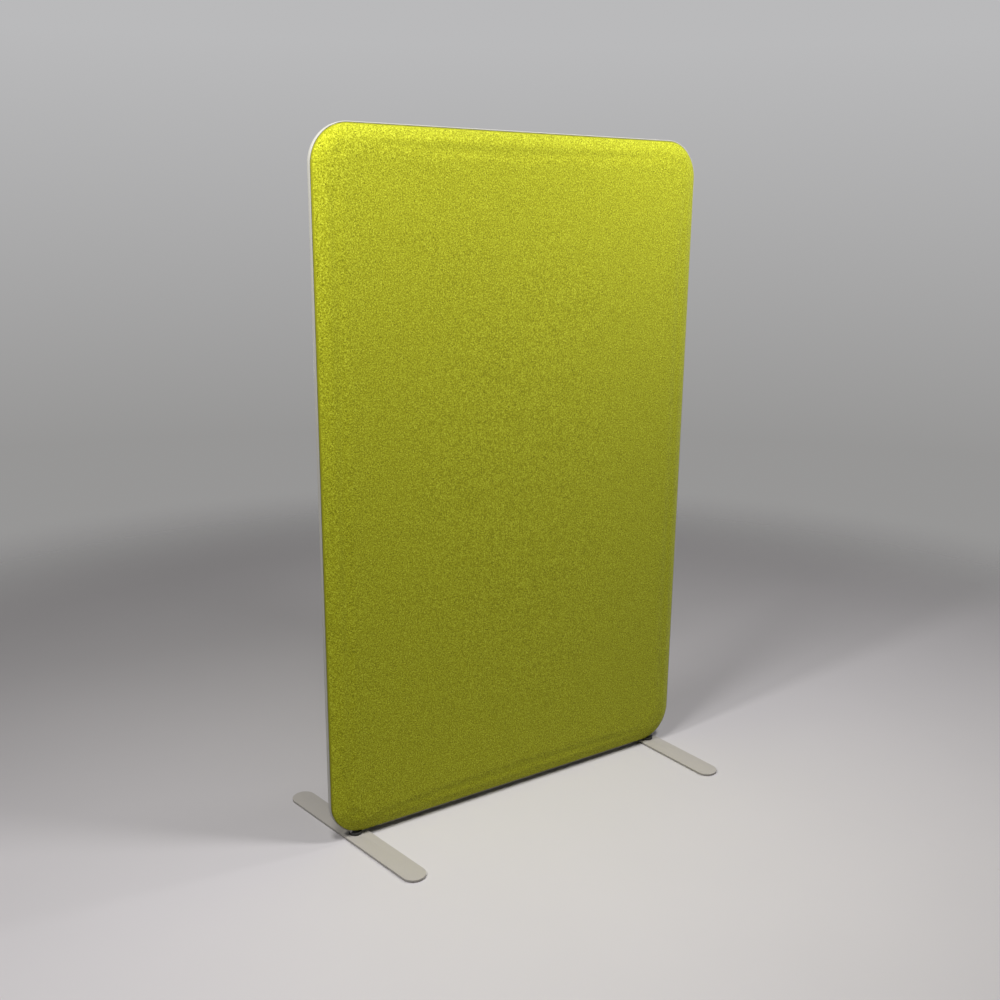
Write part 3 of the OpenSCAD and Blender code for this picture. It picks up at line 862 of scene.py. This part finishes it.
foot_finish, tree, shader = new_material("foot_lacquer", Specular_IOR_Level=0.5)
lacquer = {"Color": FOOT_COLOUR, "Paler": FOOT_WORN_AND_HIGHLIGHT, "Per Metre": 1500.0, "Edge_Wear_And_Highlight": 0.9, "Roughness": 0.42}
look = place_group(tree, coat, lacquer)
# Painted shade: the bar's upright faces are mixed toward a darker grey.
upright = add(tree, "SeparateXYZ", {0: add(tree, "TexCoord").outputs["Normal"]}).outputs["Z"]
painted_side_shade = ramp(tree, calc(tree, "ABSOLUTE", upright), 0.15, 0.45, 1.0, 0.0)
finish_surface(tree, shader, look, FOOT_RELIEF, tint(tree, painted_side_shade, look["Color"], FOOT_SIDE_SHADE))
broken_copy("left_foot", "left_bar_foot", foot_finish, "left_foot", FOOT_EDGE, 3)
broken_copy("right_foot", "right_bar_foot", foot_finish, "right_foot", FOOT_EDGE, 3)

# Glides. Four round self-adhesive felt glides under each foot keep the steel off the floor. They are
# the CAD solids with their edges broken, and they turn with the foot.
GLIDE_DARK = (0.035, 0.035, 0.036, 1)
GLIDE_LIGHT = (0.12, 0.12, 0.12, 1)
GLIDE_EDGE = 0.0003
GLIDE_FIBRES_PER_METRE = 1300.0
GLIDE_RELIEF = 0.0002

glide_finish, tree, shader = new_material("glide_felt", Specular_IOR_Level=0.1, Sheen_Weight=0.2)
fibre = {"Dark": GLIDE_DARK, "Light": GLIDE_LIGHT, "Per Metre": GLIDE_FIBRES_PER_METRE}
look = place_group(tree, flecks, fibre)
finish_surface(tree, shader, look, GLIDE_RELIEF)
broken_copy("left_glides", "left_felt_glides", glide_finish, "left_foot", GLIDE_EDGE)
broken_copy("right_glides", "right_felt_glides", glide_finish, "right_foot", GLIDE_EDGE)

# Studio. A plain pale floor fades with distance into a plain grey background. Four soft lamps light
# the panel: two high in front of it, left and right, and one further off on each side. A fifth, low
# and narrow, lights its back only.
FLOOR_RADIUS = 9.0
FLOOR_COLOUR = (0.62, 0.594, 0.602, 1)
PATCH_COLOUR = (0.45, 0.44, 0.44, 1)
PATCH_SHARE = 0.06
PATCHES_PER_METRE = 2.2
FADE_FROM, FADE_TO = 1.9, 3.2
GREY_LOW = (0.31, 0.306, 0.303, 1)
GREY_HIGH = (0.49, 0.49, 0.497, 1)
GREY_FROM, GREY_TO = -0.19, 0.14
LAMPS = (  # name, place, what it is aimed at, width, spread in degrees, power
    ("upper_left_lamp", (-0.9, -0.5, 2.2), (-0.5, -0.1, 0.8), 0.4, 180, 18.5),
    ("upper_right_lamp", (0.6, -0.8, 2.2), (0.2, -0.1, 0.8), 0.4, 180, 22.5),
    ("left_side_lamp", (-2.0, -0.3, 2.4), (-0.2, -0.1, 0.8), 0.3, 180, 30.0),
    ("right_side_lamp", (2.4, -0.4, 2.3), (0.4, 0.0, 0.2), 0.3, 180, 12.5),
    ("back_lamp", (0.3, 3.4, 0.7), (0.0, 0.0, 1.3), 0.4, 36, 2.0),
)
CAMERA_PLACE = (-1.4003, -2.0292, 1.3739)
CAMERA_YAW, CAMERA_PITCH, CAMERA_ROLL = 33.652, 14.567, 0.566
CAMERA_LENS, CAMERA_SENSOR = 39.265, 36.0

floor_mesh = bpy.data.meshes.new("floor")
bm = bmesh.new()
bmesh.ops.create_circle(bm, cap_ends=True, segments=96, radius=FLOOR_RADIUS)
bm.to_mesh(floor_mesh)
bm.free()
floor = bpy.data.objects.new("floor", floor_mesh)
bpy.context.scene.collection.objects.link(floor)
floor_finish, tree, shader = new_material("floor", Roughness=0.6, Specular_IOR_Level=0.25)
place = add(tree, "TexCoord").outputs["Object"]
patches = ramp(tree, speckle(tree, place, PATCHES_PER_METRE, 4.0), 0.35, 0.65, 0.0, PATCH_SHARE)
tree.links.new(tint(tree, patches, FLOOR_COLOUR, PATCH_COLOUR), shader.inputs["Base Color"])
reach = add(tree, "VectorMath", {0: place}, operation="LENGTH").outputs["Value"]
fade = {"Value": reach, "From Min": FADE_FROM, "From Max": FADE_TO}
away = add(tree, "MapRange", fade, interpolation_type="SMOOTHSTEP")
clear = add(tree, "BsdfTransparent").outputs[0]
both = add(tree, "MixShader", {0: away.outputs["Result"], 1: shader.outputs[0], 2: clear}).outputs[0]
tree.links.new(both, tree.nodes["Material Output"].inputs["Surface"])
floor_mesh.materials.append(floor_finish)

room = bpy.data.worlds.new("room")
bpy.context.scene.world = room
room.use_nodes = True
tree = room.node_tree
rays = add(tree, "LightPath").outputs
mirrored = calc(tree, "MAXIMUM", rays["Is Glossy Ray"], rays["Is Transmission Ray"])
seen = calc(tree, "MAXIMUM", rays["Is Camera Ray"], mirrored)
rise = add(tree, "SeparateXYZ", {0: add(tree, "TexCoord").outputs["Generated"]}).outputs["Z"]
backdrop = tint(tree, ramp(tree, rise, GREY_FROM, GREY_TO), GREY_LOW, GREY_HIGH)
shown = add(tree, "Background", {"Color": backdrop, "Strength": 1.0}).outputs[0]
unlit = tree.nodes["Background"]
unlit.inputs["Strength"].default_value = 0.0
both = add(tree, "MixShader", {0: seen, 1: unlit.outputs[0], 2: shown}).outputs[0]
tree.links.new(both, tree.nodes["World Output"].inputs["Surface"])

for name, place, target, size, spread, power in LAMPS:
    lamp = bpy.data.lights.new(name, "AREA")
    lamp.shape, lamp.size, lamp.spread, lamp.energy = "DISK", size, math.radians(spread), power
    holder = bpy.data.objects.new(name, lamp)
    bpy.context.scene.collection.objects.link(holder)
    holder.location = place
    holder.rotation_euler = (Vector(target) - Vector(place)).to_track_quat("-Z", "Y").to_euler()
    holder.visible_camera = False

yaw, pitch, roll = (math.radians(a) for a in (CAMERA_YAW, CAMERA_PITCH, CAMERA_ROLL))
right = Vector((math.cos(yaw), -math.sin(yaw), 0))
ahead = Vector((math.sin(yaw) * math.cos(pitch), math.cos(yaw) * math.cos(pitch), -math.sin(pitch)))
up = right.cross(ahead)
across, upwards = right * math.cos(roll) + up * math.sin(roll), up * math.cos(roll) - right * math.sin(roll)
view = Matrix((across, upwards, -ahead)).transposed().to_4x4()
view.translation = CAMERA_PLACE
lens = bpy.data.cameras.new("camera")
lens.lens, lens.sensor_width = CAMERA_LENS, CAMERA_SENSOR
camera = bpy.data.objects.new("camera", lens)
bpy.context.scene.collection.objects.link(camera)
camera.matrix_world = view
bpy.context.scene.camera = camera
bpy.context.scene.view_settings.view_transform = "Standard"
